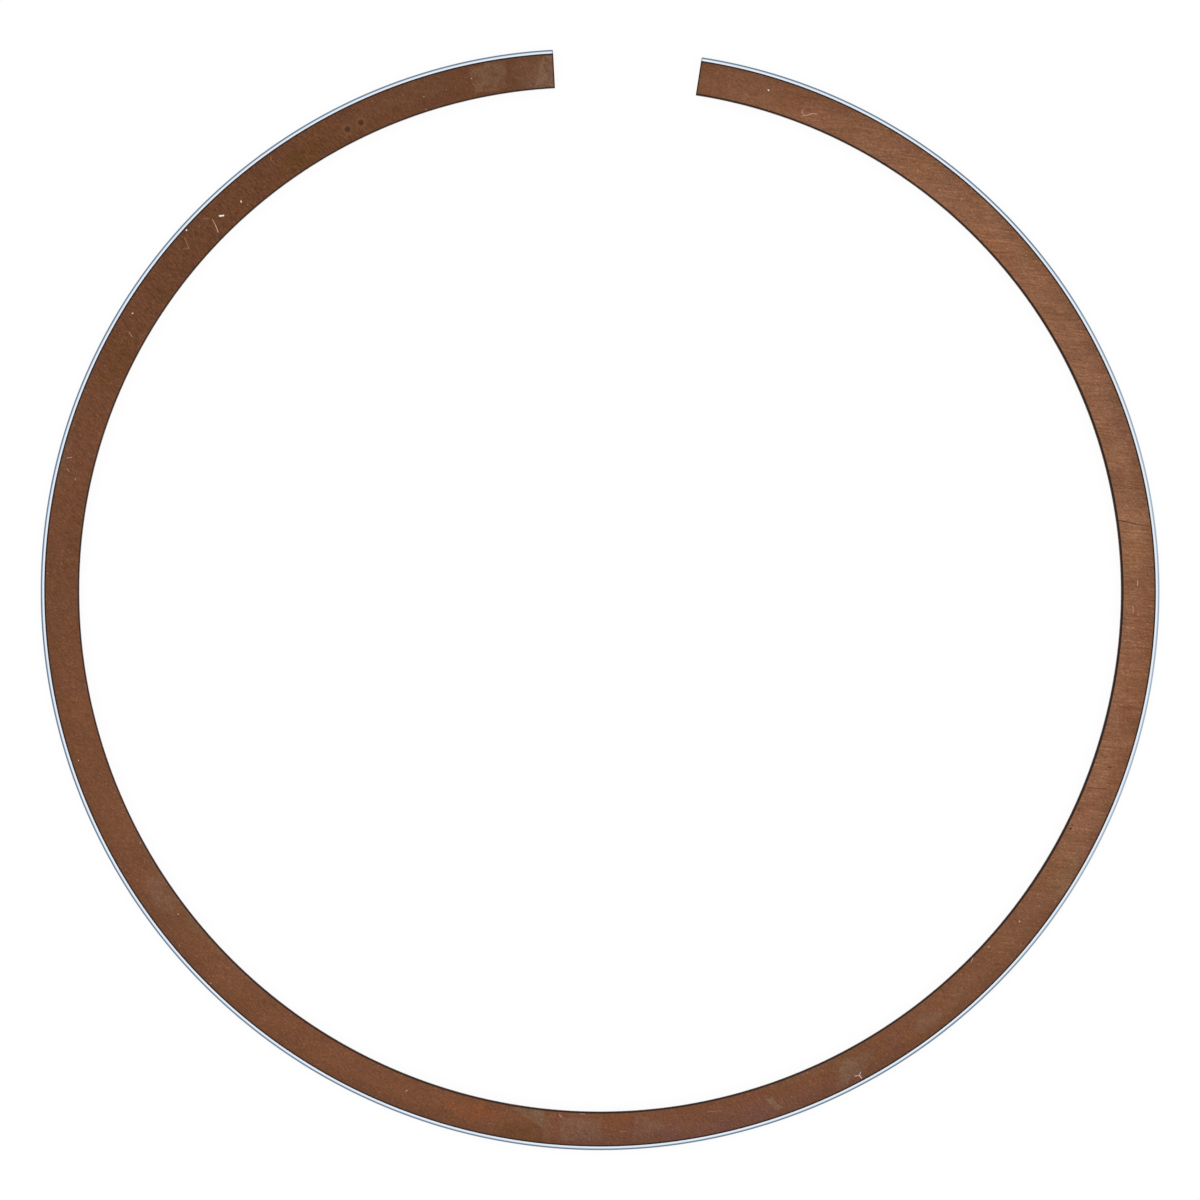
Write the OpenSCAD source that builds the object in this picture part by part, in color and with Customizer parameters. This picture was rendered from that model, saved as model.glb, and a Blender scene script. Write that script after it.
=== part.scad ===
/* [Bore and section] */
// Cylinder bore that the closed ring runs in, mm
bore_d = 86; // [60:0.5:140]
// Radial width of the section, from the bore side to the running face, mm
radial_w = 3.1; // [2.4:0.05:5]
// Axial height of the section, mm
axial_h = 1.2; // [1:0.05:3]

/* [Free shape] */
// Chord across the end gap at the outer corners, with the ring out of its cylinder, mm
free_gap = 12; // [5:0.25:18]
// Growth of the back half's radius when the ring springs open, as a share of the free gap
back_share = 0.175; // [0.15:0.005:0.2]
// Growth of the end arcs' radius when the ring springs open, as a share of the free gap
end_share = 0.05; // [0:0.005:0.1]

/* [Edges] */
// Radius of the two rounded edges of the running face, mm
edge_r = 0.35; // [0.1:0.01:0.45]
// Leg of the chamfers on the two inner edges, mm
inner_chamfer = 0.12; // [0.05:0.01:0.3]

/* [Top mark] */
// Diameter of each of the two punched dots that show which side faces up, mm
dot_d = 0.6; // [0.3:0.05:0.9]
// Depth of the punched dots, mm
dot_depth = 0.1; // [0.03:0.01:0.2]
// Distance between the centres of the two dots, mm
dot_pitch = 1.2; // [1:0.05:3]
// Distance of the dots inward from the middle of the side face, mm
dot_offset = 0.3; // [-0.45:0.05:0.45]
// Turn of the mark away from the middle of the end gap, degrees
mark_turn = 29; // [15:1:80]

/* [Hidden] */
// Radii are kept to whole microns, so the arcs share their seam planes exactly
micron = 0.001;
r_back = micron*round((bore_d/2 + back_share*free_gap)/micron);
arc_shift = micron*round((back_share - end_share)*free_gap/micron);
r_end = r_back - arc_shift;
// The end arcs are struck from two points beside the middle; each stops at its end face
end_angle = acos((free_gap/2 - arc_shift)/r_end);
end_y = r_end*sin(end_angle);
centre_y = micron*round((r_back - end_y)/2/micron);
// The punched dots lie on a circle inside the flat of the upper side face
dot_r = r_end - (radial_w + edge_r - inner_chamfer)/2 - dot_offset;
dot_step = dot_pitch/dot_r*180/PI;
punch_r = (dot_d*dot_d/4 + dot_depth*dot_depth)/(2*dot_depth);
oxide_brown = [0.44, 0.30, 0.21];
$fn = 96;

// Radial section, drawn with its running face at the given radius:
// rounded outer edges, chamfered inner edges, lower side face on zero
module section(r_face) {
    difference() {
        union() {
            translate([r_face - radial_w, 0])
                square([radial_w - edge_r, axial_h]);
            translate([r_face - edge_r, edge_r])
                square([edge_r, axial_h - 2*edge_r]);
            translate([r_face - edge_r, edge_r])
                circle(r = edge_r);
            translate([r_face - edge_r, axial_h - edge_r])
                circle(r = edge_r);
        }
        translate([r_face - radial_w, 0])
            polygon([[0, 0], [inner_chamfer, 0], [0, inner_chamfer]]);
        translate([r_face - radial_w, axial_h])
            polygon([[0, 0], [inner_chamfer, 0], [0, -inner_chamfer]]);
    }
}

// One half of the sprung ring's front: an end arc, from the seam to its square-cut end face
module end_arc() {
    translate([arc_shift, 0, 0])
        rotate_extrude(start = 0, angle = end_angle)
            section(r_end);
}

// The half circle behind the seams, struck to the larger radius
module back_arc() {
    rotate_extrude(start = 180, angle = 180)
        section(r_back);
}

// Two shallow dots struck into the upper side face
module top_mark() {
    for (side = [-0.5, 0.5])
        translate([-arc_shift, 0, 0])
            rotate([0, 0, 90 + mark_turn + side*dot_step])
                translate([dot_r, 0, axial_h - dot_depth + punch_r])
                    sphere(r = punch_r);
}

module ring() {
    color(oxide_brown)
        translate([0, centre_y, 0])
            difference() {
                union() {
                    back_arc();
                    end_arc();
                    mirror([1, 0, 0])
                        end_arc();
                }
                top_mark();
            }
}

ring();
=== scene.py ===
"""Models a sprung-open piston ring with its oxide coat and plated edge, and sets its studio stage."""

import math
from collections import namedtuple

import bmesh
import bpy
from bpy.props import FloatProperty, FloatVectorProperty, IntProperty, PointerProperty
from bpy.types import NodeSocket, Operator, Panel, PropertyGroup
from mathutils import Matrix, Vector


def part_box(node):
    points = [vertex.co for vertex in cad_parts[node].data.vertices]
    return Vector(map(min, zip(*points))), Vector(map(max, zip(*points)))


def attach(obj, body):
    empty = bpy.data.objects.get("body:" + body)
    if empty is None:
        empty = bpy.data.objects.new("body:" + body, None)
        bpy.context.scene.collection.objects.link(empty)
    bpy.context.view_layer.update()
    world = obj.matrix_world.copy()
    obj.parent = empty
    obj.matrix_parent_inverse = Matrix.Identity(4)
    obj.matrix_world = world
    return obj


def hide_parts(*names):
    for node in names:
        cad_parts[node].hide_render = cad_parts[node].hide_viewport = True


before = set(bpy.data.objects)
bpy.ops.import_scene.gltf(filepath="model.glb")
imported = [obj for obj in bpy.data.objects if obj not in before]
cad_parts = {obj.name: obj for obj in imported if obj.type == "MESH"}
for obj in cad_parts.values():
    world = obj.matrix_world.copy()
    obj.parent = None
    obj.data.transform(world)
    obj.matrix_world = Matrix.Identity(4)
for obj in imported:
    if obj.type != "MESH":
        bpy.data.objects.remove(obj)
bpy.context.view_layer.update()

bl_info = {
    "name": "Piston ring",
    "version": (1, 0, 0),
    "blender": (4, 5, 0),
    "location": "View3D > Sidebar > Piston ring",
    "description": "Models a sprung-open piston ring with its finishes, and sets its stage",
    "category": "Add Mesh",
}

MM = 0.001
RING_NODE = "ring"
RING_FLOOR, RING_TOP = (corner.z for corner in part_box(RING_NODE))

# Name of the mesh attribute that holds each point's place on the ring, in millimetres:
# along the running face from the left end, inward from the running face, and up
PLACE = "place_on_ring"

# Cuts across each quad of the upper face that the punched dots lie in, the reach of the lip round
# a dot as a share of its diameter, and the least rise of the normal of a face that looks up
DOT_CUTS = 32
LIP_SHARE = 0.9
FACING_UP = 0.99

# Distance from the rounded edges to the loop that keeps the side faces' shading flat
SHADING_HOLD = 0.08 * MM

# Distance within which swept loops are merged, and the angle past which an edge is sharp
WELD = 0.001 * MM
SHARP_EDGE = math.radians(28)

# Turns of the scratches on the upper face: those left by grinding, from the camera's level,
# the finer ones that cross them, from the same, and the hair scratches, from the grinding
GROUND_LAY = math.radians(-1)
CROSS_LAY = math.radians(-47)
HAIR_LAY = math.radians(-8)

# Sizes of the cells of the coat's noises: round ones, for the outlines of stains, the clouds in
# them, mottling and speckle, and long ones that lie with the scratches
OUTLINE_CELL = (1.3 * MM,) * 3
CLOUD_CELL = (0.7 * MM,) * 3
MOTTLE_CELL = (2.6 * MM,) * 3
SPECKLE_CELL = (0.13 * MM,) * 3
DASH_CELL = (0.5 * MM, 0.11 * MM, 1 * MM)
STREAK_CELL = (2.0 * MM, 0.17 * MM, 1 * MM)
BAND_CELL = (9 * MM, 1.6 * MM, 1 * MM)
HAIR_CELL = (2.4 * MM, 0.1 * MM, 1 * MM)

# Noise cells in a millimetre of the plating: along the ring, inward and up
PLATING_CELLS = (0.25, 14.0, 14.0)

# Stretches of the ring, as the places along it where each eases in and where it eases out:
# where the coat is rough, where painted light makes the coat paler on the right-hand side, where
# the inner edge's dark line of painted shade is broad, and where painted light makes the plating's rim
# paler
ROUGH_COAT = ((8, 24), (95, 25))
LIT_SIDE_COAT = ((158, 200), (278, 246))
BROAD_EDGE = ((165, 190), (252, 222))
LIT_RIM = ((166, 192), (242, 214))

# Places along the ring between which painted shade darkens the coat towards the left end, the painted
# shade beside the plating deepens, and the inner edge's dark line of painted shade goes from thin to firm
SHADED_END = (88, 18)
DEEP_SHADE = (30, 120)
FIRM_EDGE = (75, 115)

# Insets between which the painted light on the right-hand side gains its full paleness,
# and the painted shade beside the plating ends
PALE_INSET = (0.3, 2.0)
SHADE_INSET = (0.3, 1.7)

# Depths below the nearer side face, in millimetres, between which the upper face's marks end, the dark
# lines of painted shade end, the inner wall's painted shade begins, the plating's painted highlight on
# the shoulder ends and its rim of painted shade ends
MARKED_DEPTH = (0.16, 0.11)
LINE_DEPTH = (0.14, 0.08)
WALL_DEPTH = (0.12, 0.2)
HIGHLIGHT_DEPTH = (0.105, 0.035)
RIM_SHADE_DEPTH = (0.22, 0.4)

# Distances in millimetres over which the dark lines fade in: from the middle of the line along
# the plating, from an end of the coat and of the plating, and across the inner edge's line; on the coat
# these lines are painted shade
SEAM_LINE = (0.12, 0.055)
COAT_END = (0.14, 0.08)
PLATING_END = (0.13, 0.07)
INNER_LINE = 0.04

# Shift of the dark line of painted shade along the plating, in from the plating's edge, and what the inner
# edge's line of painted shade gains in width where it is firm and where it is broad, in millimetres
SEAM_SHIFT = 0.04
FIRM_GAIN = 0.04
BROAD_GAIN = 0.05

# Where each cover fades in: a thin mark's by the distance as a share of its half width, a stain's
# by the distance as a share of its half size, and a patch's by millimetres inside its outline
MARK_FADE = (1.4, 0.6)
STAIN_FADE = (1.2, 0.3)
PATCH_FADE = (-0.09, 0.09)

# The stage: the gap that keeps the floor clear of the ring, its matt colour, and the share and
# the strength of the plain white in its look, of which the rest takes the ring's shadow
FLOOR_DROP = 0.02 * MM
FLOOR_MATT = (0.9, 0.9, 0.9, 1.0)
FLOOR_SHARE = 0.88
FLOOR_STRENGTH = 1.04
WHITE = (1.0, 1.0, 1.0, 1.0)

# Marks on the upper face, in millimetres along the ring and inward from the running face:
# a thin mark runs from start to end, a stain spreads round its centre, and a patch lies between
# two slanting sides, each given by its places along the ring at the two insets
Mark = namedtuple("Mark", "start end half_width strength")
Stain = namedtuple("Stain", "centre half_size strength")
Patch = namedtuple("Patch", "near far insets strength")

FLECKS = (
    Mark((29.06, 1.96), (29.11, 2.02), 0.042, 1.00),
    Mark((30.98, 1.86), (31.24, 1.67), 0.058, 1.00),
    Mark((33.96, 0.54), (34.00, 0.56), 0.050, 0.90),
    Mark((42.10, 1.13), (42.14, 1.09), 0.034, 1.00),
    Mark((88.87, 2.84), (88.91, 2.84), 0.030, 0.45),
    Mark((133.6, 2.76), (133.8, 2.56), 0.026, 0.32),
    Mark((159.26, 0.79), (159.31, 0.52), 0.021, 0.95),
    Mark((159.26, 0.79), (158.88, 0.94), 0.015, 0.85),
    Mark((159.26, 0.79), (159.50, 1.02), 0.015, 0.80),
    Mark((172.5, 2.78), (172.9, 2.96), 0.022, 0.35),
    Mark((263.67, 1.42), (263.73, 1.42), 0.046, 1.00),
)
FIBRES = (
    Mark((2.12, 2.77), (2.18, 2.77), 0.024, 0.40),
    Mark((6.93, 1.45), (6.97, 1.45), 0.035, 0.60),
    Mark((9.20, 1.83), (9.24, 1.83), 0.028, 0.40),
    Mark((11.17, 1.88), (11.21, 1.88), 0.034, 0.65),
    Mark((11.32, 2.91), (11.38, 2.91), 0.030, 0.40),
    Mark((24.80, 0.60), (25.00, 0.90), 0.022, 0.33),
    Mark((28.80, 2.52), (28.86, 2.52), 0.024, 0.35),
    Mark((31.86, 1.45), (32.02, 1.95), 0.026, 0.55),
    Mark((32.02, 1.95), (32.28, 2.52), 0.026, 0.88),
    Mark((31.98, 1.20), (32.38, 0.90), 0.024, 0.18),
    Mark((34.54, 0.86), (35.00, 1.68), 0.024, 0.28),
    Mark((35.00, 1.68), (35.36, 1.34), 0.024, 0.16),
    Mark((43.60, 1.62), (43.82, 2.04), 0.028, 0.37),
    Mark((55.10, 1.16), (55.26, 0.80), 0.028, 0.46),
    Mark((56.06, 0.98), (56.30, 1.22), 0.024, 0.42),
    Mark((56.72, 1.84), (56.90, 1.85), 0.028, 0.42),
    Mark((64.82, 0.56), (64.88, 0.56), 0.028, 0.35),
    Mark((80.43, 0.90), (80.47, 0.90), 0.032, 1.00),
    Mark((95.73, 2.22), (95.78, 2.28), 0.028, 0.75),
    Mark((97.84, 0.76), (97.88, 0.76), 0.028, 0.70),
    Mark((101.86, 0.55), (101.9, 0.55), 0.034, 0.65),
    Mark((120.4, 1.80), (120.5, 1.96), 0.026, 0.60),
    Mark((135.4, 2.91), (135.8, 2.90), 0.024, 0.40),
    Mark((138.75, 1.49), (139.3, 1.48), 0.024, 0.22),
    Mark((146.2, 2.22), (147.4, 2.08), 0.022, 0.18),
    Mark((174.48, 2.62), (174.55, 2.62), 0.034, 0.85),
    Mark((177.82, 2.06), (177.86, 2.06), 0.046, 0.90),
    Mark((205.85, 1.68), (206.0, 1.69), 0.026, 0.30),
    Mark((206.1, 2.09), (206.6, 2.14), 0.024, 0.48),
    Mark((208.4, 1.78), (208.8, 1.77), 0.028, 0.62),
    Mark((259.2, 1.93), (259.6, 2.02), 0.024, 0.60),
    Mark((259.6, 2.02), (260.0, 2.36), 0.028, 0.55),
    Mark((260.0, 2.36), (260.25, 2.42), 0.028, 0.55),
    Mark((260.25, 2.42), (260.5, 2.04), 0.024, 0.38),
)
SCRATCHES = (
    Mark((186.80, 2.63), (186.90, 2.61), 0.070, 0.95),
    Mark((187.15, 2.62), (187.18, 2.66), 0.060, 0.85),
    Mark((188.50, 2.62), (188.65, 2.70), 0.040, 0.50),
    Mark((191.10, 1.30), (190.86, 2.00), 0.045, 0.55),
    Mark((190.86, 2.00), (190.65, 2.75), 0.030, 0.60),
    Mark((192.86, 1.80), (192.96, 1.50), 0.045, 0.75),
    Mark((193.62, 2.15), (193.55, 2.45), 0.030, 0.50),
    Mark((213.15, 0.40), (213.53, 1.54), 0.026, 0.80),
    Mark((213.53, 1.54), (214.05, 2.92), 0.030, 0.95),
)
GREY_STAINS = (
    Stain((1.2, 1.9), (2.8, 2.4), 0.35),
    Stain((12.5, 1.2), (6.0, 1.2), 0.15),
    Stain((54.0, 0.6), (6.0, 0.4), 0.30),
    Stain((93.6, 2.0), (2.2, 0.8), 0.55),
    Stain((97.3, 2.7), (1.8, 0.6), 0.50),
    Stain((96.0, 2.9), (12.0, 0.4), 0.35),
    Stain((155.0, 2.8), (4.0, 0.5), 0.30),
    Stain((159.0, 1.7), (1.9, 1.1), 1.00),
    Stain((166.5, 1.5), (1.2, 0.9), 0.70),
    Stain((169.8, 1.5), (2.0, 0.9), 0.25),
)
GREY_PATCHES = (
    Patch((-0.5, -0.5), (0.9, 1.9), (0.4, 3.2), 0.90),
    Patch((3.9, 4.2), (6.9, 7.0), (0.5, 2.7), 0.45),
    Patch((132.2, 129.2), (132.3, 132.3), (1.6, 2.9), 0.85),
    Patch((132.4, 132.4), (133.0, 133.0), (0.8, 2.5), 0.40),
    Patch((133.9, 133.7), (137.2, 137.1), (0.8, 2.6), 0.50),
    Patch((136.0, 136.0), (137.0, 137.0), (1.7, 2.6), 0.75),
    Patch((139.9, 140.1), (141.2, 141.2), (0.8, 2.6), 0.32),
    Patch((141.3, 141.2), (142.7, 142.2), (1.4, 2.2), 0.60),
    Patch((151.9, 151.2), (152.5, 151.8), (0.8, 2.0), 1.00),
)
ORANGE_STAINS = (
    Stain((126.2, 2.0), (2.9, 0.8), 0.55),
    Stain((189.0, 2.1), (1.3, 0.9), 0.15),
    Stain((200.0, 1.3), (11.0, 1.4), 0.14),
    Stain((239.5, 2.5), (4.0, 0.8), 0.20),
)
ORANGE_PATCHES = (Patch((137.6, 137.3), (139.8, 139.9), (1.2, 2.8), 0.20),)
OLIVE_STAINS = (
    Stain((22.6, 2.1), (2.6, 1.0), 1.00),
    Stain((40.0, 2.3), (3.0, 0.9), 0.25),
    Stain((46.0, 2.0), (3.0, 1.0), 0.50),
    Stain((63.0, 2.4), (4.0, 0.7), 0.25),
    Stain((65.0, 1.0), (2.4, 0.7), 0.25),
    Stain((119.5, 0.6), (4.5, 0.6), 0.35),
    Stain((124.4, 0.9), (3.0, 0.6), 0.20),
)
OLIVE_PATCHES = (
    Patch((128.6, 129.2), (132.4, 132.3), (0.4, 1.7), 0.40),
    Patch((137.2, 137.3), (139.9, 139.9), (0.4, 2.8), 0.20),
)
VIOLET_STAINS = (
    Stain((119.0, 0.6), (4.0, 0.4), 0.30),
    Stain((135.0, 0.6), (2.6, 0.5), 0.40),
    Stain((147.0, 1.0), (16.0, 1.4), 0.45),
    Stain((149.0, 0.8), (5.0, 0.6), 0.60),
    Stain((159.5, 0.6), (4.0, 0.5), 0.35),
    Stain((163.2, 1.8), (0.8, 1.0), 0.35),
    Stain((221.3, 1.4), (0.9, 1.6), 0.25),
)
TAN_STAINS = (Stain((183.2, 1.0), (2.4, 1.0), 0.38),)
TAN_PATCHES = (Patch((151.9, 151.2), (152.5, 151.8), (0.9, 2.0), 0.42),)
DARK_STAINS = (
    Stain((179.5, 2.7), (3.0, 0.5), 0.35),
    Stain((192.0, 0.9), (2.4, 0.6), 0.35),
    Stain((197.6, 1.3), (1.6, 1.1), 0.45),
    Stain((207.2, 1.4), (2.6, 1.2), 0.25),
    Stain((217.6, 2.3), (1.4, 0.9), 0.25),
    Stain((252.0, 1.7), (9.0, 0.5), 0.25),
    Stain((261.6, 1.6), (2.4, 1.0), 0.55),
)
BRIGHT_STAINS = (
    Stain((186.2, 1.8), (2.0, 1.2), 0.20),
    Stain((189.4, 1.9), (1.3, 0.9), 0.18),
    Stain((193.2, 2.2), (2.2, 0.8), 0.20),
    Stain((201.6, 2.6), (1.6, 0.5), 0.15),
    Stain((213.6, 1.5), (2.0, 2.0), 0.32),
    Stain((219.5, 2.0), (1.2, 1.1), 0.30),
    Stain((222.8, 2.1), (1.2, 0.7), 0.20),
    Stain((241.6, 2.3), (1.6, 0.8), 0.18),
    Stain((243.4, 0.7), (3.0, 0.5), 0.25),
    Stain((266.0, 0.8), (2.6, 0.6), 0.12),
    Stain((266.0, 2.4), (2.6, 0.9), 0.15),
)


class RingSizes(PropertyGroup):
    """Sizes of the free ring, the same as those of the solid that it stands for."""

    bore: FloatProperty(
        name="Bore",
        description="Cylinder bore that the closed ring runs in",
        default=86 * MM,
        unit="LENGTH",
    )
    radial_width: FloatProperty(
        name="Radial width",
        description="Width of the section, from the inner wall to the running face",
        default=3.1 * MM,
        unit="LENGTH",
    )
    free_gap: FloatProperty(
        name="Free gap",
        description="Chord across the end gap at the outer corners",
        default=12 * MM,
        unit="LENGTH",
    )
    back_share: FloatProperty(
        name="Back share",
        description="Growth of the back half's radius as a share of the free gap",
        default=0.175,
    )
    end_share: FloatProperty(
        name="End share",
        description="Growth of the end arcs' radius as a share of the free gap",
        default=0.05,
    )
    edge_radius: FloatProperty(
        name="Edge radius",
        description="Radius of the plated edges of the running face",
        default=0.35 * MM,
        unit="LENGTH",
    )
    plating_reach: FloatProperty(
        name="Plating reach",
        description="Reach of the plating over the edges, in from the running face",
        default=0.3 * MM,
        unit="LENGTH",
    )
    inner_chamfer: FloatProperty(
        name="Inner chamfer",
        description="Leg of the chamfers on the inner edges",
        default=0.12 * MM,
        unit="LENGTH",
    )
    end_break: FloatProperty(
        name="End edge break",
        description="Width of the broken edges round the two end faces",
        default=0.04 * MM,
        unit="LENGTH",
    )
    dot_diameter: FloatProperty(
        name="Dot diameter",
        description="Diameter of each punched dot on the upper face",
        default=0.6 * MM,
        unit="LENGTH",
    )
    dot_depth: FloatProperty(
        name="Dot depth",
        description="Depth of the punched dots",
        default=0.1 * MM,
        unit="LENGTH",
    )
    dot_pitch: FloatProperty(
        name="Dot pitch",
        description="Distance between the centres of the two dots",
        default=1.2 * MM,
        unit="LENGTH",
    )
    dot_offset: FloatProperty(
        name="Dot offset",
        description="Distance of the dots inward from the middle of the side face",
        default=0.3 * MM,
        unit="LENGTH",
    )
    mark_turn: FloatProperty(
        name="Mark turn",
        description="Turn of the mark away from the middle of the end gap",
        default=math.radians(29),
        subtype="ANGLE",
    )
    arc_steps: IntProperty(
        name="Arc steps",
        description="Steps in half a turn of the ring",
        default=184,
        min=24,
    )
    edge_steps: IntProperty(
        name="Edge steps",
        description="Steps round each plated edge",
        default=12,
        min=2,
    )


class RingFinish(PropertyGroup):
    """Colours and gloss of the coat and the plating."""

    coat_brown: FloatVectorProperty(
        name="Coat",
        description="Brown oxide coat over most of the ring",
        subtype="COLOR",
        default=(0.179, 0.0708, 0.0336),
    )
    # Painted light: the coat made paler on the right-hand side; also the pale lips round the dots, partly
    # a painted highlight
    coat_lit_pale: FloatVectorProperty(
        name="Pale coat",
        description="Thinner coat on the right-hand side",
        subtype="COLOR",
        default=(0.245, 0.111, 0.057),
    )
    coat_bright: FloatVectorProperty(
        name="Coat bright",
        description="Coat where grinding has worn it to bright steel",
        subtype="COLOR",
        default=(0.34, 0.16, 0.085),
    )
    # Painted shade: the coat made darker towards the gap's left end
    coat_shaded_end: FloatVectorProperty(
        name="Dark coat",
        description="Thicker coat beside the gap's left end",
        subtype="COLOR",
        default=(0.134, 0.0522, 0.0238),
    )
    # Painted shade on the inner chamfers, the inner wall, along the plating and at the coat's ends; also
    # the colour of the real scratches
    edge_shade_and_scratch: FloatVectorProperty(
        name="Edge line",
        description="Dark coat on the inner chamfers, the inner wall and along the plating",
        subtype="COLOR",
        default=(0.032, 0.0165, 0.012),
    )
    stain_grey: FloatVectorProperty(
        name="Grey stain",
        description="Grey-green stains in the coat",
        subtype="COLOR",
        default=(0.192, 0.104, 0.061),
    )
    stain_orange: FloatVectorProperty(
        name="Orange stain",
        description="Orange stains in the coat",
        subtype="COLOR",
        default=(0.235, 0.072, 0.025),
    )
    stain_olive: FloatVectorProperty(
        name="Olive stain",
        description="Olive stains in the coat",
        subtype="COLOR",
        default=(0.119, 0.05, 0.0155),
    )
    stain_violet: FloatVectorProperty(
        name="Violet stain",
        description="Violet stains in the coat",
        subtype="COLOR",
        default=(0.155, 0.067, 0.05),
    )
    stain_tan: FloatVectorProperty(
        name="Tan stain",
        description="Tan stains in the coat",
        subtype="COLOR",
        default=(0.24, 0.135, 0.07),
    )
    fleck_pale: FloatVectorProperty(
        name="Pale flecks",
        description="Flecks and fibres on the coat",
        subtype="COLOR",
        default=(0.96, 0.86, 0.77),
    )
    fibre_tan: FloatVectorProperty(
        name="Fibre tan",
        description="Tan fibres and specks on the coat",
        subtype="COLOR",
        default=(0.8, 0.5, 0.36),
    )
    # Painted highlight on the shoulders of the plated edges
    plating_highlight: FloatVectorProperty(
        name="Bright plating",
        description="Polished plating on the shoulders of the edges",
        subtype="COLOR",
        default=(0.77, 0.865, 0.96),
    )
    plating_grey: FloatVectorProperty(
        name="Grey plating",
        description="Ground plating on the running face",
        subtype="COLOR",
        default=(0.25, 0.3, 0.36),
    )
    # Painted shade on the rim where the plated edges turn down to the running face
    plating_rim_shade: FloatVectorProperty(
        name="Plating rim",
        description="Darker rim where the plated edges turn down to the running face",
        subtype="COLOR",
        default=(0.128, 0.185, 0.265),
    )
    coat_roughness: FloatProperty(
        name="Coat roughness",
        description="Mean roughness of the oxide coat",
        default=0.42,
        subtype="FACTOR",
    )
    plating_roughness: FloatProperty(
        name="Plating roughness",
        description="Roughness of the plating",
        default=0.24,
        subtype="FACTOR",
    )


class RingStage(PropertyGroup):
    """Floor, lamp and camera."""

    floor_size: FloatProperty(
        name="Floor size",
        description="Side of the square floor",
        default=6.0,
        unit="LENGTH",
    )
    lamp_size: FloatProperty(
        name="Lamp size",
        description="Side of the square overhead lamp",
        default=1.2,
        unit="LENGTH",
    )
    lamp_height: FloatProperty(
        name="Lamp height",
        description="Height of the overhead lamp",
        default=1.7,
        unit="LENGTH",
    )
    lamp_power: FloatProperty(
        name="Lamp power",
        description="Power of the overhead lamp, in watts",
        default=0.7,
    )
    frame_width: FloatProperty(
        name="Frame width",
        description="Width that the camera sees at the ring's upper face",
        default=96.7 * MM,
        unit="LENGTH",
    )
    camera_height: FloatProperty(
        name="Camera height",
        description="Height of the camera above the ring's upper face",
        default=1.1,
        unit="LENGTH",
    )
    camera_shift: FloatVectorProperty(
        name="Camera place",
        description="Point of the ring's frame that the camera stands over",
        size=2,
        default=(0.03 * MM, 0.119 * MM),
        unit="LENGTH",
    )
    camera_roll: FloatProperty(
        name="Camera roll",
        description="Turn of the camera about its line of sight",
        default=math.radians(2.9),
        subtype="ANGLE",
    )


class FreeShape:
    """The three arcs of the free ring, and where a point lies along and across them."""

    def __init__(self, sizes):
        self.back_radius = sizes.bore / 2 + sizes.back_share * sizes.free_gap
        self.arc_shift = (sizes.back_share - sizes.end_share) * sizes.free_gap
        self.end_radius = self.back_radius - self.arc_shift
        self.end_angle = math.acos((sizes.free_gap / 2 - self.arc_shift) / self.end_radius)
        self.seam_y = (self.back_radius - self.end_radius * math.sin(self.end_angle)) / 2
        self.end_length = self.end_angle * self.end_radius
        self.back_length = math.pi * self.back_radius
        self.length = 2 * self.end_length + self.back_length

    def place(self, point):
        """Length along the running face from the left end, and depth in from it, at a point."""
        rise = point.y - self.seam_y
        if rise < 0:
            turn = math.atan2(rise, point.x) + math.tau
            inset = self.back_radius - math.hypot(point.x, rise)
            return self.end_length + (turn - math.pi) * self.back_radius, inset
        run = point.x - math.copysign(self.arc_shift, point.x)
        turn = math.atan2(rise, run)
        inset = self.end_radius - math.hypot(run, rise)
        if point.x < 0:
            return (turn - math.pi + self.end_angle) * self.end_radius, inset
        return self.end_length + self.back_length + turn * self.end_radius, inset

    def left_point(self, turn, inset):
        """Point on the left end arc, at a turn from the gap's middle and a depth from the face."""
        reach = self.end_radius - inset
        return Vector((-self.arc_shift - reach * math.sin(turn), self.seam_y + reach * math.cos(turn)))

    def dots(self, sizes):
        """Depth of the two punched dots in from the running face, and their centres."""
        middle = (sizes.radial_width + sizes.edge_radius - sizes.inner_chamfer) / 2
        inset = middle + sizes.dot_offset
        half_step = sizes.dot_pitch / 2 / (self.end_radius - inset)
        turns = (sizes.mark_turn - half_step, sizes.mark_turn + half_step)
        return inset, [self.left_point(turn, inset) for turn in turns]


def draw_section(bm, sizes, shape, loops):
    """Draws the section at the right-hand seam, with extra loops at the given insets, as edges."""
    outer = shape.back_radius
    inner = outer - sizes.radial_width
    outline = ((inner, RING_FLOOR), (outer, RING_FLOOR), (outer, RING_TOP), (inner, RING_TOP))
    corners = [bm.verts.new((x, shape.seam_y, z)) for x, z in outline]
    bm.faces.new(corners)
    edges = {"profile": 0.5, "affect": "VERTICES", "material": -1}
    bmesh.ops.bevel(bm, geom=corners[1:3], offset=sizes.edge_radius, segments=sizes.edge_steps, **edges)
    bmesh.ops.bevel(bm, geom=corners[::3], offset=sizes.inner_chamfer, segments=1, **edges)
    for inset in loops:
        every = [*bm.verts, *bm.edges, *bm.faces]
        bmesh.ops.bisect_plane(bm, geom=every, plane_co=(outer - inset, 0, 0), plane_no=(1, 0, 0))
    spare = [edge for edge in bm.edges if not edge.is_boundary]
    bmesh.ops.delete(bm, geom=list(bm.faces), context="FACES_ONLY")
    bmesh.ops.delete(bm, geom=spare, context="EDGES")
    return list(bm.edges)


def sweep(bm, edges, centre, angle, steps):
    """Turns a loop of edges about an upright axis and returns the loop at the far end."""
    verts = {vert for edge in edges for vert in edge.verts}
    swept = bmesh.ops.spin(
        bm, geom=[*verts, *edges], cent=centre, axis=(0, 0, 1), angle=angle, steps=steps
    )
    return [part for part in swept["geom_last"] if isinstance(part, bmesh.types.BMEdge)]


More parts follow.
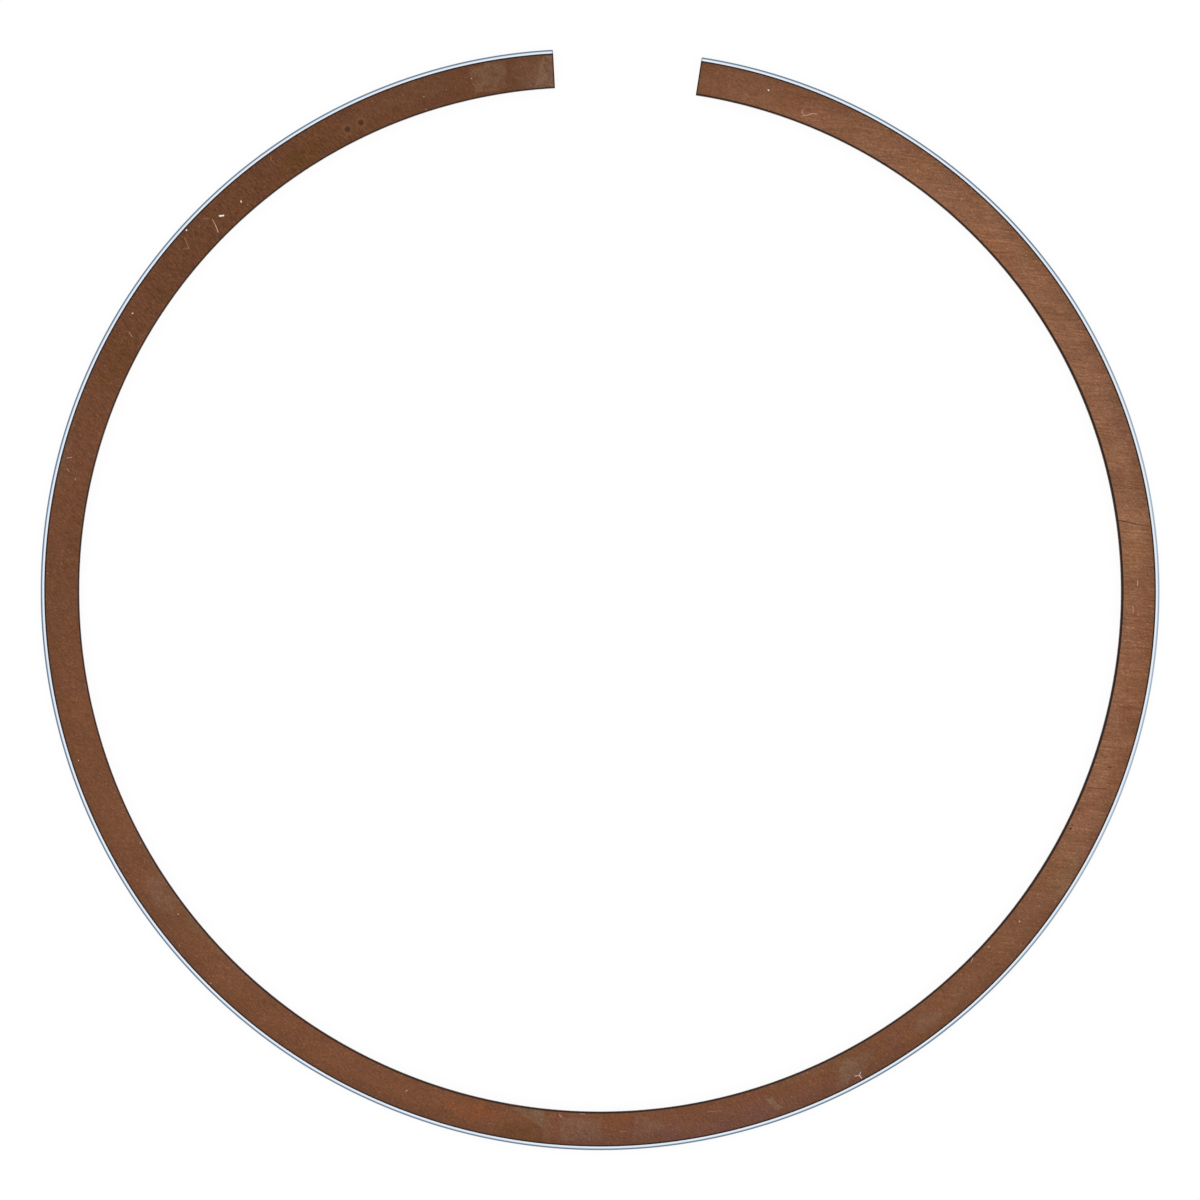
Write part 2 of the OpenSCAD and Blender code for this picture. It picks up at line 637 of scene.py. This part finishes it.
def sweep_ring(bm, section, sizes, shape):
    """Sweeps the section along the three arcs and closes the two ends; returns the end faces."""
    end_steps = round(sizes.arc_steps * shape.end_angle / math.pi)
    right_centre = (shape.arc_shift, shape.seam_y, 0)
    middle = (0, shape.seam_y, 0)
    left_centre = (-shape.arc_shift, shape.seam_y, 0)
    right_end = sweep(bm, section, right_centre, shape.end_angle, end_steps)
    left_seam = sweep(bm, section, middle, -math.pi, sizes.arc_steps)
    left_end = sweep(bm, left_seam, left_centre, -shape.end_angle, end_steps)
    ends = []
    for loop in (right_end, left_end):
        ends += bmesh.ops.contextual_create(bm, geom=loop)["faces"]
    bmesh.ops.remove_doubles(bm, verts=bm.verts, dist=WELD)
    bmesh.ops.recalc_face_normals(bm, faces=bm.faces)
    return ends


def press_dots(bm, sizes, shape, reach):
    """Refines the upper face round the mark and presses the two dots into it."""
    inset, dots = shape.dots(sizes)
    mark_along, _ = shape.place((dots[0] + dots[1]) / 2)
    half_mark = sizes.dot_pitch / 2 + reach
    patch = []
    for face in bm.faces:
        along, depth = shape.place(face.calc_center_median())
        beside = abs(along - mark_along) < half_mark and abs(depth - inset) < reach
        if beside and face.normal.z > FACING_UP:
            patch.append(face)
    if not patch:
        raise RuntimeError("no faces of the upper side lie under the mark")
    edges = {edge for face in patch for edge in face.edges}
    bmesh.ops.subdivide_edges(bm, edges=list(edges), cuts=DOT_CUTS, use_grid_fill=True)
    punch = (sizes.dot_diameter**2 / 4 + sizes.dot_depth**2) / (2 * sizes.dot_depth)
    for dot in dots:
        for vert in bm.verts:
            away = (vert.co.xy - dot).length
            if away < sizes.dot_diameter / 2 and vert.co.z > RING_TOP - sizes.dot_depth:
                vert.co.z = RING_TOP - sizes.dot_depth + punch - math.sqrt(punch**2 - away**2)


def note_places(bm, shape):
    """Writes each point's place on the ring into the mesh, in millimetres."""
    layer = bm.verts.layers.float_vector.new(PLACE)
    for vert in bm.verts:
        along, inset = shape.place(vert.co)
        vert[layer] = Vector((along, inset, vert.co.z)) / MM


def ring_mesh(sizes):
    """The ring's mesh, with the coat on its first material and the plating on its second."""
    shape = FreeShape(sizes)
    dot_inset, _ = shape.dots(sizes)
    dot_reach = LIP_SHARE * sizes.dot_diameter
    hold = sizes.edge_radius + SHADING_HOLD
    bm = bmesh.new()
    section = draw_section(bm, sizes, shape, (hold, dot_inset - dot_reach, dot_inset + dot_reach))
    ends = sweep_ring(bm, section, sizes, shape)
    press_dots(bm, sizes, shape, dot_reach)
    end_edges = {edge for face in ends for edge in face.edges}
    bmesh.ops.bevel(
        bm,
        geom=list(end_edges),
        offset=sizes.end_break,
        segments=2,
        profile=0.5,
        affect="EDGES",
        material=-1,
    )
    note_places(bm, shape)
    for face in bm.faces:
        _, inset = shape.place(face.calc_center_median())
        face.smooth = True
        face.material_index = int(inset < sizes.plating_reach)
    mesh = bpy.data.meshes.new("piston_ring")
    bm.to_mesh(mesh)
    bm.free()
    mesh.set_sharp_from_angle(angle=SHARP_EDGE)
    return mesh


def feed(tree, socket, value):
    """Links a socket into an input, or sets the input to a plain value."""
    if isinstance(value, NodeSocket):
        tree.links.new(value, socket)
    else:
        socket.default_value = value


def add_node(tree, kind, inputs=(), **settings):
    """Adds a node with its settings and its inputs, named or numbered."""
    node = tree.nodes.new(kind)
    for name, value in settings.items():
        setattr(node, name, value)
    for key, value in dict(inputs).items():
        feed(tree, node.inputs[key], value)
    return node


def calc(tree, operation, first, second=0.0):
    """Result of a sum with two values."""
    return add_node(tree, "ShaderNodeMath", {0: first, 1: second}, operation=operation).outputs[0]


def calc_vector(tree, operation, *values):
    """Result of a sum with vectors."""
    node = add_node(tree, "ShaderNodeVectorMath", dict(enumerate(values)), operation=operation)
    return node.outputs["Value" if operation in {"DOT_PRODUCT", "LENGTH"} else "Vector"]


def scaled(tree, vector, share):
    """A vector or a colour times a value."""
    node = add_node(tree, "ShaderNodeVectorMath", {0: vector, "Scale": share}, operation="SCALE")
    return node.outputs["Vector"]


def ease(tree, value, start, stop, low=0.0, high=1.0):
    """Smooth step of a value between two limits."""
    inputs = {"Value": value, "From Min": start, "From Max": stop, "To Min": low, "To Max": high}
    node = add_node(tree, "ShaderNodeMapRange", inputs, interpolation_type="SMOOTHSTEP")
    return node.outputs["Result"]


def tint(tree, cover, under, over):
    """One colour laid over another by a cover; a plain colour gets its alpha here."""
    under, over = (c if isinstance(c, NodeSocket) else (*c, 1.0) for c in (under, over))
    node = add_node(tree, "ShaderNodeMix", {0: cover, 6: under, 7: over}, data_type="RGBA")
    return node.outputs[2]


def vary(tree, colour, noise, swing):
    """Colour made lighter and darker by a noise about one half, with a swing for each channel."""
    span = tuple(2 * share for share in swing)
    base = tuple(1 - share for share in swing)
    return calc_vector(tree, "MULTIPLY", colour, calc_vector(tree, "MULTIPLY_ADD", noise, span, base))


def merge(tree, operation, values):
    """Several values joined by one operation."""
    merged = values[0]
    for value in values[1:]:
        merged = calc(tree, operation, merged, value)
    return merged


def stretch(tree, along, rise, fall):
    """One on a stretch of the ring, easing in over the rise and out over the fall."""
    return calc(tree, "MINIMUM", ease(tree, along, *rise), ease(tree, along, *fall))


def stray(tree, place, noise, reach):
    """A place moved about by a noise, within the given reach."""
    half = tuple(-each / 2 for each in reach)
    return calc_vector(tree, "ADD", place, calc_vector(tree, "MULTIPLY_ADD", noise, reach, half))


def grain(tree, cell, turn=0.0, detail=2.0, roughness=0.5, distortion=0.0):
    """Noise node whose cells have the given sizes, turned about the ring's axis."""
    coordinates = add_node(tree, "ShaderNodeTexCoord").outputs["Object"]
    inputs = {"Vector": coordinates, "Rotation": (0, 0, turn), "Scale": cell}
    mapping = add_node(tree, "ShaderNodeMapping", inputs, vector_type="TEXTURE")
    inputs = {
        "Vector": mapping.outputs["Vector"],
        "Scale": 1.0,
        "Detail": detail,
        "Roughness": roughness,
        "Distortion": distortion,
    }
    return add_node(tree, "ShaderNodeTexNoise", inputs)


def new_group(name, **inputs):
    """A node group that adds one cover to those before it; returns the group and its inputs."""
    group = bpy.data.node_groups.new(name, "ShaderNodeTree")
    for key, kind in {"before": "Float", "place": "Vector", "strength": "Float", **inputs}.items():
        group.interface.new_socket(key, in_out="INPUT", socket_type="NodeSocket" + kind)
    group.interface.new_socket("cover", in_out="OUTPUT", socket_type="NodeSocketFloat")
    return group, add_node(group, "NodeGroupInput").outputs


def close_group(group, given, shape):
    """Gives a group's output the larger of the covers before it and its own shape."""
    cover = calc(group, "MULTIPLY", shape, given["strength"])
    add_node(group, "NodeGroupOutput", {"cover": calc(group, "MAXIMUM", given["before"], cover)})
    return group


def thin_mark_group():
    """Node group that covers a thin straight mark on the ring."""
    group, given = new_group("thin_mark", start="Vector", run="Vector", half_width="Float")
    offset = calc_vector(group, "SUBTRACT", given["place"], given["start"])
    share = calc(
        group,
        "DIVIDE",
        calc_vector(group, "DOT_PRODUCT", offset, given["run"]),
        calc_vector(group, "DOT_PRODUCT", given["run"], given["run"]),
    )
    held = add_node(group, "ShaderNodeClamp", {"Value": share}).outputs["Result"]
    nearest = scaled(group, given["run"], held)
    gap = calc_vector(group, "LENGTH", calc_vector(group, "SUBTRACT", offset, nearest))
    share = calc(group, "DIVIDE", gap, given["half_width"])
    return close_group(group, given, ease(group, share, *MARK_FADE))


def stain_group():
    """Node group that covers a soft oval stain on the ring."""
    group, given = new_group("coat_stain", centre="Vector", half_size="Vector")
    offset = calc_vector(group, "SUBTRACT", given["place"], given["centre"])
    away = calc_vector(group, "LENGTH", calc_vector(group, "DIVIDE", offset, given["half_size"]))
    return close_group(group, given, ease(group, away, *STAIN_FADE))


def patch_group():
    """Node group that covers a patch of the ring between two slanting sides."""
    names = ("near_outer", "near_inner", "far_outer", "far_inner", "outer", "inner")
    group, given = new_group("coat_patch", **dict.fromkeys(names, "Float"))
    along, inset, _ = add_node(group, "ShaderNodeSeparateXYZ", {0: given["place"]}).outputs
    sides = []
    for side in ("near", "far"):
        inputs = {
            "Value": inset,
            "From Min": given["outer"],
            "From Max": given["inner"],
            "To Min": given[side + "_outer"],
            "To Max": given[side + "_inner"],
        }
        sides.append(add_node(group, "ShaderNodeMapRange", inputs).outputs["Result"])
    depths = [
        calc(group, "SUBTRACT", along, sides[0]),
        calc(group, "SUBTRACT", sides[1], along),
        calc(group, "SUBTRACT", inset, given["outer"]),
        calc(group, "SUBTRACT", given["inner"], inset),
    ]
    return close_group(group, given, ease(group, merge(group, "MINIMUM", depths), *PATCH_FADE))


def mark_inputs(mark):
    """A thin mark's inputs to its group."""
    run = Vector(mark.end) - Vector(mark.start)
    return {
        "start": (*mark.start, 0),
        "run": (*run, 0),
        "half_width": mark.half_width,
        "strength": mark.strength,
    }


def stain_inputs(stain):
    """A stain's inputs to its group."""
    return {
        "centre": (*stain.centre, 0),
        "half_size": (*stain.half_size, 1),
        "strength": stain.strength,
    }


def patch_inputs(patch):
    """A patch's inputs to its group."""
    return {
        "near_outer": patch.near[0],
        "near_inner": patch.near[1],
        "far_outer": patch.far[0],
        "far_inner": patch.far[1],
        "outer": patch.insets[0],
        "inner": patch.insets[1],
        "strength": patch.strength,
    }


def cover_of(tree, group, place, rows, before=0.0):
    """Cover of all the rows of one group, on top of the cover before them."""
    for row in rows:
        inputs = {"before": before, "place": place, **row}
        before = add_node(tree, "ShaderNodeGroup", inputs, node_tree=group).outputs["cover"]
    return before


def empty_tree(owner):
    """The node tree of a new material or world, with nothing in it."""
    owner.use_nodes = True
    owner.node_tree.nodes.clear()
    return owner.node_tree


def new_finish(name):
    """An empty material with its shader; returns the material, its tree and the shader."""
    material = bpy.data.materials.new(name)
    tree = empty_tree(material)
    shader = add_node(tree, "ShaderNodeBsdfPrincipled")
    add_node(tree, "ShaderNodeOutputMaterial", {"Surface": shader.outputs["BSDF"]})
    return material, tree, shader


def place_on_ring(tree):
    """Sockets of the place on the ring, in millimetres: all of it, along, inset and height."""
    place = add_node(tree, "ShaderNodeAttribute", attribute_name=PLACE).outputs["Vector"]
    return place, *add_node(tree, "ShaderNodeSeparateXYZ", {0: place}).outputs


def side_depths(tree, height):
    """Depths below the upper side face and below the nearer side face, in millimetres."""
    below = calc(tree, "SUBTRACT", RING_TOP / MM, height)
    above = calc(tree, "SUBTRACT", height, RING_FLOOR / MM)
    return below, calc(tree, "MINIMUM", below, above)


def from_end(tree, sizes, along):
    """Length along the ring from its nearer end, in millimetres."""
    length = FreeShape(sizes).length / MM
    return calc(tree, "MINIMUM", along, calc(tree, "SUBTRACT", length, along))


def coat_tones(tree, finish, along, inset, lit_side):
    """The coat's broad tones: painted shade darkens it near the left end, painted light makes it pale on
    the right-hand side, and painted shade darkens it beside the plating.
    """
    colour = tint(tree, ease(tree, along, *SHADED_END), finish.coat_brown, finish.coat_shaded_end)
    cover = calc(tree, "MULTIPLY", lit_side, ease(tree, inset, *PALE_INSET, 0.8, 1.0))
    colour = tint(tree, cover, colour, finish.coat_lit_pale)
    shade = ease(tree, along, *DEEP_SHADE, 0.97, 0.85)
    return scaled(tree, colour, ease(tree, inset, *SHADE_INSET, shade, 1.0))


def coat_stains(tree, finish, colour, place, upper, stain):
    """Cloudy stains in the coat, their outlines broken up by noise, and patches with firmer outlines."""
    rough = grain(tree, OUTLINE_CELL, detail=4.0, roughness=0.65).outputs["Color"]
    loose = stray(tree, place, rough, (3.0, 2.2, 0.0))
    firm = stray(tree, place, rough, (0.9, 0.8, 0.0))
    cloud = grain(tree, CLOUD_CELL, detail=3.0, roughness=0.6).outputs["Fac"]
    upper = calc(tree, "MULTIPLY", upper, ease(tree, cloud, 0.36, 0.6, 0.55, 1.4))
    patch = patch_group()
    for stain_colour, stains, patches in (
        (finish.coat_brown, DARK_STAINS, ()),
        (finish.coat_bright, BRIGHT_STAINS, ()),
        (finish.stain_olive, OLIVE_STAINS, OLIVE_PATCHES),
        (finish.stain_orange, ORANGE_STAINS, ORANGE_PATCHES),
        (finish.stain_grey, GREY_STAINS, GREY_PATCHES),
        (finish.stain_violet, VIOLET_STAINS, ()),
        (finish.stain_tan, TAN_STAINS, TAN_PATCHES),
    ):
        cover = cover_of(tree, stain, loose, map(stain_inputs, stains))
        cover = cover_of(tree, patch, firm, map(patch_inputs, patches), cover)
        colour = tint(tree, calc(tree, "MULTIPLY", cover, upper), colour, stain_colour)
    return colour


def coat_grain(tree, colour, along, lit_side, level):
    """Mottling, dust, scratches and grinding streaks on the coat; returns the colour and the relief."""
    mottle = grain(tree, MOTTLE_CELL, detail=3.0, roughness=0.6).outputs
    colour = vary(tree, colour, mottle["Color"], (0.02, 0.03, 0.20))
    colour = vary(tree, colour, mottle["Fac"], (0.13, 0.13, 0.13))
    speckle = grain(tree, SPECKLE_CELL, detail=1.0).outputs["Fac"]
    colour = vary(tree, colour, speckle, (0.34, 0.38, 0.44))
    colour = scaled(tree, colour, ease(tree, speckle, 0.64, 0.78, 1.0, 1.45))
    crosswise = grain(tree, DASH_CELL, level + CROSS_LAY, 2.0, 0.6, 0.5).outputs["Fac"]
    rough = vary(tree, colour, crosswise, (0.85, 0.90, 0.96))
    smooth = vary(tree, colour, crosswise, (0.42, 0.46, 0.51))
    colour = tint(tree, stretch(tree, along, *ROUGH_COAT), smooth, rough)
    lay = level + GROUND_LAY
    lengthwise = grain(tree, DASH_CELL, lay, 2.0, 0.6, 0.5).outputs["Fac"]
    streaks = grain(tree, STREAK_CELL, lay, 3.0, 0.6, 0.7).outputs["Fac"]
    bands = grain(tree, BAND_CELL, lay, 2.0, 0.5, 0.3).outputs["Fac"]
    hairs = grain(tree, HAIR_CELL, lay + HAIR_LAY, 1.0, 0.5, 0.3).outputs["Fac"]
    ground = vary(tree, colour, lengthwise, (0.30, 0.34, 0.38))
    ground = vary(tree, ground, streaks, (0.41, 0.46, 0.51))
    ground = vary(tree, ground, bands, (0.24, 0.24, 0.24))
    ground = scaled(tree, ground, ease(tree, hairs, 0.58, 0.72, 1.0, 1.25))
    ground = scaled(tree, ground, ease(tree, hairs, 0.42, 0.28, 1.0, 0.8))
    colour = tint(tree, ease(tree, lit_side, 0.0, 1.0, 0.3, 1.0), colour, ground)
    relief = merge(tree, "ADD", [lengthwise, crosswise, streaks])
    return colour, relief


def coat_marks(tree, finish, colour, place, upper):
    """Pale flecks and fibres on the coat, and dark scratches in it."""
    group = thin_mark_group()
    for marks, mark_colour in (
        (FIBRES, finish.fibre_tan),
        (FLECKS, finish.fleck_pale),
        (SCRATCHES, finish.edge_shade_and_scratch),
    ):
        cover = cover_of(tree, group, place, map(mark_inputs, marks))
        colour = tint(tree, calc(tree, "MULTIPLY", cover, upper), colour, mark_colour)
    return colour


def coat_dots(tree, finish, sizes, colour, place, below, stain):
    """Pale lips round the punched dots, burnished and partly a painted highlight, and painted shade that
    darkens the dots with their depth.
    """
    shape = FreeShape(sizes)
    lip = LIP_SHARE * sizes.dot_diameter / MM
    lips = []
    for dot in shape.dots(sizes)[1]:
        along, inset = shape.place(dot)
        lips.append(Stain((along / MM, inset / MM), (lip, lip), 0.45))
    cover = cover_of(tree, stain, place, map(stain_inputs, lips))
    colour = tint(tree, cover, colour, finish.coat_lit_pale)
    # Painted shade: each dot darkens with its depth
    return scaled(tree, colour, ease(tree, below, 0.0, sizes.dot_depth / MM, 1.0, 0.35))


def coat_edges(tree, finish, sizes, colour, along, inset, depth):
    """Painted shade: dark lines along the plating, at the end edges and on the inner chamfers, and a dark
    inner wall.
    """
    chamfer = (sizes.radial_width - sizes.inner_chamfer) / MM
    seam = calc(tree, "SUBTRACT", inset, sizes.plating_reach / MM + SEAM_SHIFT)
    outer = [
        ease(tree, calc(tree, "ABSOLUTE", seam), *SEAM_LINE, 0.0, 0.97),
        ease(tree, from_end(tree, sizes, along), *COAT_END, 0.0, 0.95),
    ]
    firm = ease(tree, along, *FIRM_EDGE, 0.0, FIRM_GAIN)
    broad = calc(tree, "MULTIPLY", stretch(tree, along, *BROAD_EDGE), BROAD_GAIN)
    widened = merge(tree, "ADD", [inset, firm, broad])
    inner = ease(tree, widened, chamfer, chamfer + INNER_LINE)
    shade_lines = [
        calc(tree, "MULTIPLY", merge(tree, "MAXIMUM", outer), ease(tree, depth, *LINE_DEPTH)),
        calc(tree, "MULTIPLY", inner, ease(tree, depth, *WALL_DEPTH, 1.0, 0.7)),
    ]
    return tint(tree, merge(tree, "MAXIMUM", shade_lines), colour, finish.edge_shade_and_scratch)


def coat_finish(finish, sizes, level):
    """Brown oxide coat on ground steel: mottled, streaked by grinding, stained and flecked, with painted
    light and shade in its broad tones, along its edges and in its dots.
    """
    material, tree, shader = new_finish("brown_oxide_coat")
    _, along, inset, height = place_on_ring(tree)
    place = add_node(tree, "ShaderNodeCombineXYZ", {0: along, 1: inset}).outputs[0]
    below, depth = side_depths(tree, height)
    upper = ease(tree, below, *MARKED_DEPTH)
    # Painted light: the right-hand stretch where the coat is made paler
    lit_side = stretch(tree, along, *LIT_SIDE_COAT)
    stain = stain_group()
    colour = coat_tones(tree, finish, along, inset, lit_side)
    colour = coat_stains(tree, finish, colour, place, upper, stain)
    colour, relief = coat_grain(tree, colour, along, lit_side, level)
    colour = coat_marks(tree, finish, colour, place, upper)
    dotted = coat_dots(tree, finish, sizes, colour, place, below, stain)
    colour = tint(tree, upper, colour, dotted)
    colour = coat_edges(tree, finish, sizes, colour, along, inset, depth)
    feed(tree, shader.inputs["Base Color"], colour)
    shader.inputs["Metallic"].default_value = 0.75
    shader.inputs["Specular IOR Level"].default_value = 0.2
    mean, swing = finish.coat_roughness, 0.07
    feed(tree, shader.inputs["Roughness"], ease(tree, relief, 1.1, 1.9, mean - swing, mean + swing))
    inputs = {"Strength": 0.5, "Distance": 0.002 * MM, "Height": relief}
    bump = add_node(tree, "ShaderNodeBump", inputs)
    feed(tree, shader.inputs["Normal"], bump.outputs["Normal"])
    return material


def plating_finish(finish, sizes):
    """Chromium plating: a painted highlight on the shoulders, a rim of painted shade that painted light
    makes paler on the right-hand stretch, and a running face and end edges lapped grey.
    """
    material, tree, shader = new_finish("chromium_plating")
    place, along, _, height = place_on_ring(tree)
    cells = calc_vector(tree, "MULTIPLY", place, PLATING_CELLS)
    inputs = {"Vector": cells, "Scale": 1.0, "Detail": 3.0}
    polish = add_node(tree, "ShaderNodeTexNoise", inputs).outputs["Fac"]
    _, depth = side_depths(tree, height)
    # Painted light makes the rim's painted shade paler on the right-hand stretch
    rim_light = calc(tree, "MULTIPLY", stretch(tree, along, *LIT_RIM), 0.35)
    shaded_rim = tint(tree, rim_light, finish.plating_rim_shade, finish.plating_highlight)
    colour = tint(tree, ease(tree, depth, *RIM_SHADE_DEPTH), shaded_rim, finish.plating_grey)
    colour = tint(tree, ease(tree, depth, *HIGHLIGHT_DEPTH), colour, finish.plating_highlight)
    end = ease(tree, from_end(tree, sizes, along), *PLATING_END, 0.0, 0.8)
    colour = tint(tree, end, colour, finish.plating_grey)
    feed(tree, shader.inputs["Base Color"], vary(tree, colour, polish, (0.12, 0.12, 0.12)))
    shader.inputs["Metallic"].default_value = 1.0
    mean, swing = finish.plating_roughness, 0.06
    feed(tree, shader.inputs["Roughness"], ease(tree, polish, 0.2, 0.8, mean - swing, mean + swing))
    return material


def add_object(scene, name, data):
    """A new object in the scene, at the origin."""
    thing = bpy.data.objects.new(name, data)
    scene.collection.objects.link(thing)
    return thing


class PISTON_RING_OT_model(Operator):
    """Model the ring, give it its finishes and put it in the place of its solid"""

    bl_idname = "piston_ring.model"
    bl_label = "Model the ring"

    def execute(self, context):
        scene = context.scene
        sizes, finish = scene.ring_sizes, scene.ring_finish
        ring = add_object(scene, "piston_ring", ring_mesh(sizes))
        ring.data.materials.append(coat_finish(finish, sizes, scene.ring_stage.camera_roll))
        ring.data.materials.append(plating_finish(finish, sizes))
        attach(ring, "root")
        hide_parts(RING_NODE)
        return {"FINISHED"}


def seen_directly(tree):
    """One for the rays by which the camera, metal and glass see the stage, and zero for its light."""
    path = add_node(tree, "ShaderNodeLightPath").outputs
    rays = [path["Is Camera Ray"], path["Is Glossy Ray"], path["Is Transmission Ray"]]
    return merge(tree, "MAXIMUM", rays)


def floor_finish():
    """Matt white floor that shows white where it is open and keeps a faint shadow."""
    material = bpy.data.materials.new("white_floor")
    tree = empty_tree(material)
    matt = add_node(tree, "ShaderNodeBsdfDiffuse", {"Color": FLOOR_MATT})
    white = add_node(tree, "ShaderNodeEmission", {"Color": WHITE, "Strength": FLOOR_STRENGTH})
    share = calc(tree, "MULTIPLY", seen_directly(tree), FLOOR_SHARE)
    mix = add_node(tree, "ShaderNodeMixShader", {0: share, 1: matt.outputs[0], 2: white.outputs[0]})
    add_node(tree, "ShaderNodeOutputMaterial", {"Surface": mix.outputs[0]})
    return material


def studio_world():
    """Soft sky light, brighter overhead than at the horizon, that shows white."""
    world = bpy.data.worlds.new("studio")
    tree = empty_tree(world)
    direction = add_node(tree, "ShaderNodeTexCoord").outputs["Generated"]
    _, _, up = add_node(tree, "ShaderNodeSeparateXYZ", {0: direction}).outputs
    strength = ease(tree, up, 0.0, 1.0, 0.6, 1.0)
    sky = add_node(tree, "ShaderNodeBackground", {"Color": WHITE, "Strength": strength})
    white = add_node(tree, "ShaderNodeBackground", {"Color": WHITE, "Strength": 1.0})
    inputs = {0: seen_directly(tree), 1: sky.outputs[0], 2: white.outputs[0]}
    mix = add_node(tree, "ShaderNodeMixShader", inputs)
    add_node(tree, "ShaderNodeOutputWorld", {"Surface": mix.outputs[0]})
    return world


def lay_floor(scene, stage):
    """Lays the floor just under the ring."""
    bm = bmesh.new()
    bmesh.ops.create_grid(bm, x_segments=1, y_segments=1, size=stage.floor_size / 2)
    bmesh.ops.translate(bm, verts=bm.verts, vec=(0, 0, RING_FLOOR - FLOOR_DROP))
    mesh = bpy.data.meshes.new("floor")
    bm.to_mesh(mesh)
    bm.free()
    mesh.materials.append(floor_finish())
    floor = add_object(scene, "floor", mesh)


def hang_lamp(scene, stage):
    """Hangs the square lamp above the ring."""
    light = bpy.data.lights.new("overhead_lamp", "AREA")
    light.size = stage.lamp_size
    light.energy = stage.lamp_power
    lamp = add_object(scene, "overhead_lamp", light)
    lamp.location = (0, 0, stage.lamp_height)


def set_camera(scene, stage):
    """Sets the camera straight above the ring, rolled about its line of sight."""
    view = bpy.data.cameras.new("overhead_camera")
    view.lens = view.sensor_width * stage.camera_height / stage.frame_width
    camera = add_object(scene, "overhead_camera", view)
    camera.location = (*stage.camera_shift, RING_TOP + stage.camera_height)
    camera.rotation_euler = (0, 0, stage.camera_roll)
    scene.camera = camera


class PISTON_RING_OT_stage(Operator):
    """Set the floor, the overhead lamp, the sky and the camera above the ring"""

    bl_idname = "piston_ring.stage"
    bl_label = "Set the stage"

    def execute(self, context):
        scene = context.scene
        lay_floor(scene, scene.ring_stage)
        hang_lamp(scene, scene.ring_stage)
        set_camera(scene, scene.ring_stage)
        scene.world = studio_world()
        scene.view_settings.view_transform = "Standard"
        return {"FINISHED"}


class PISTON_RING_PT_panel(Panel):
    """Sizes, finishes and steps of the piston ring"""

    bl_idname = "PISTON_RING_PT_panel"
    bl_label = "Piston ring"
    bl_space_type = "VIEW_3D"
    bl_region_type = "UI"
    bl_category = "Piston ring"

    def draw(self, context):
        for group in (context.scene.ring_sizes, context.scene.ring_finish, context.scene.ring_stage):
            box = self.layout.box()
            for name in group.__annotations__:
                box.prop(group, name)
        self.layout.operator(PISTON_RING_OT_model.bl_idname)
        self.layout.operator(PISTON_RING_OT_stage.bl_idname)


CLASSES = (
    RingSizes,
    RingFinish,
    RingStage,
    PISTON_RING_OT_model,
    PISTON_RING_OT_stage,
    PISTON_RING_PT_panel,
)


def register():
    for each in CLASSES:
        bpy.utils.register_class(each)
    bpy.types.Scene.ring_sizes = PointerProperty(type=RingSizes)
    bpy.types.Scene.ring_finish = PointerProperty(type=RingFinish)
    bpy.types.Scene.ring_stage = PointerProperty(type=RingStage)


def unregister():
    del bpy.types.Scene.ring_stage
    del bpy.types.Scene.ring_finish
    del bpy.types.Scene.ring_sizes
    for each in reversed(CLASSES):
        bpy.utils.unregister_class(each)


def main():
    register()
    bpy.ops.piston_ring.model()
    bpy.ops.piston_ring.stage()


if __name__ == "__main__":
    main()
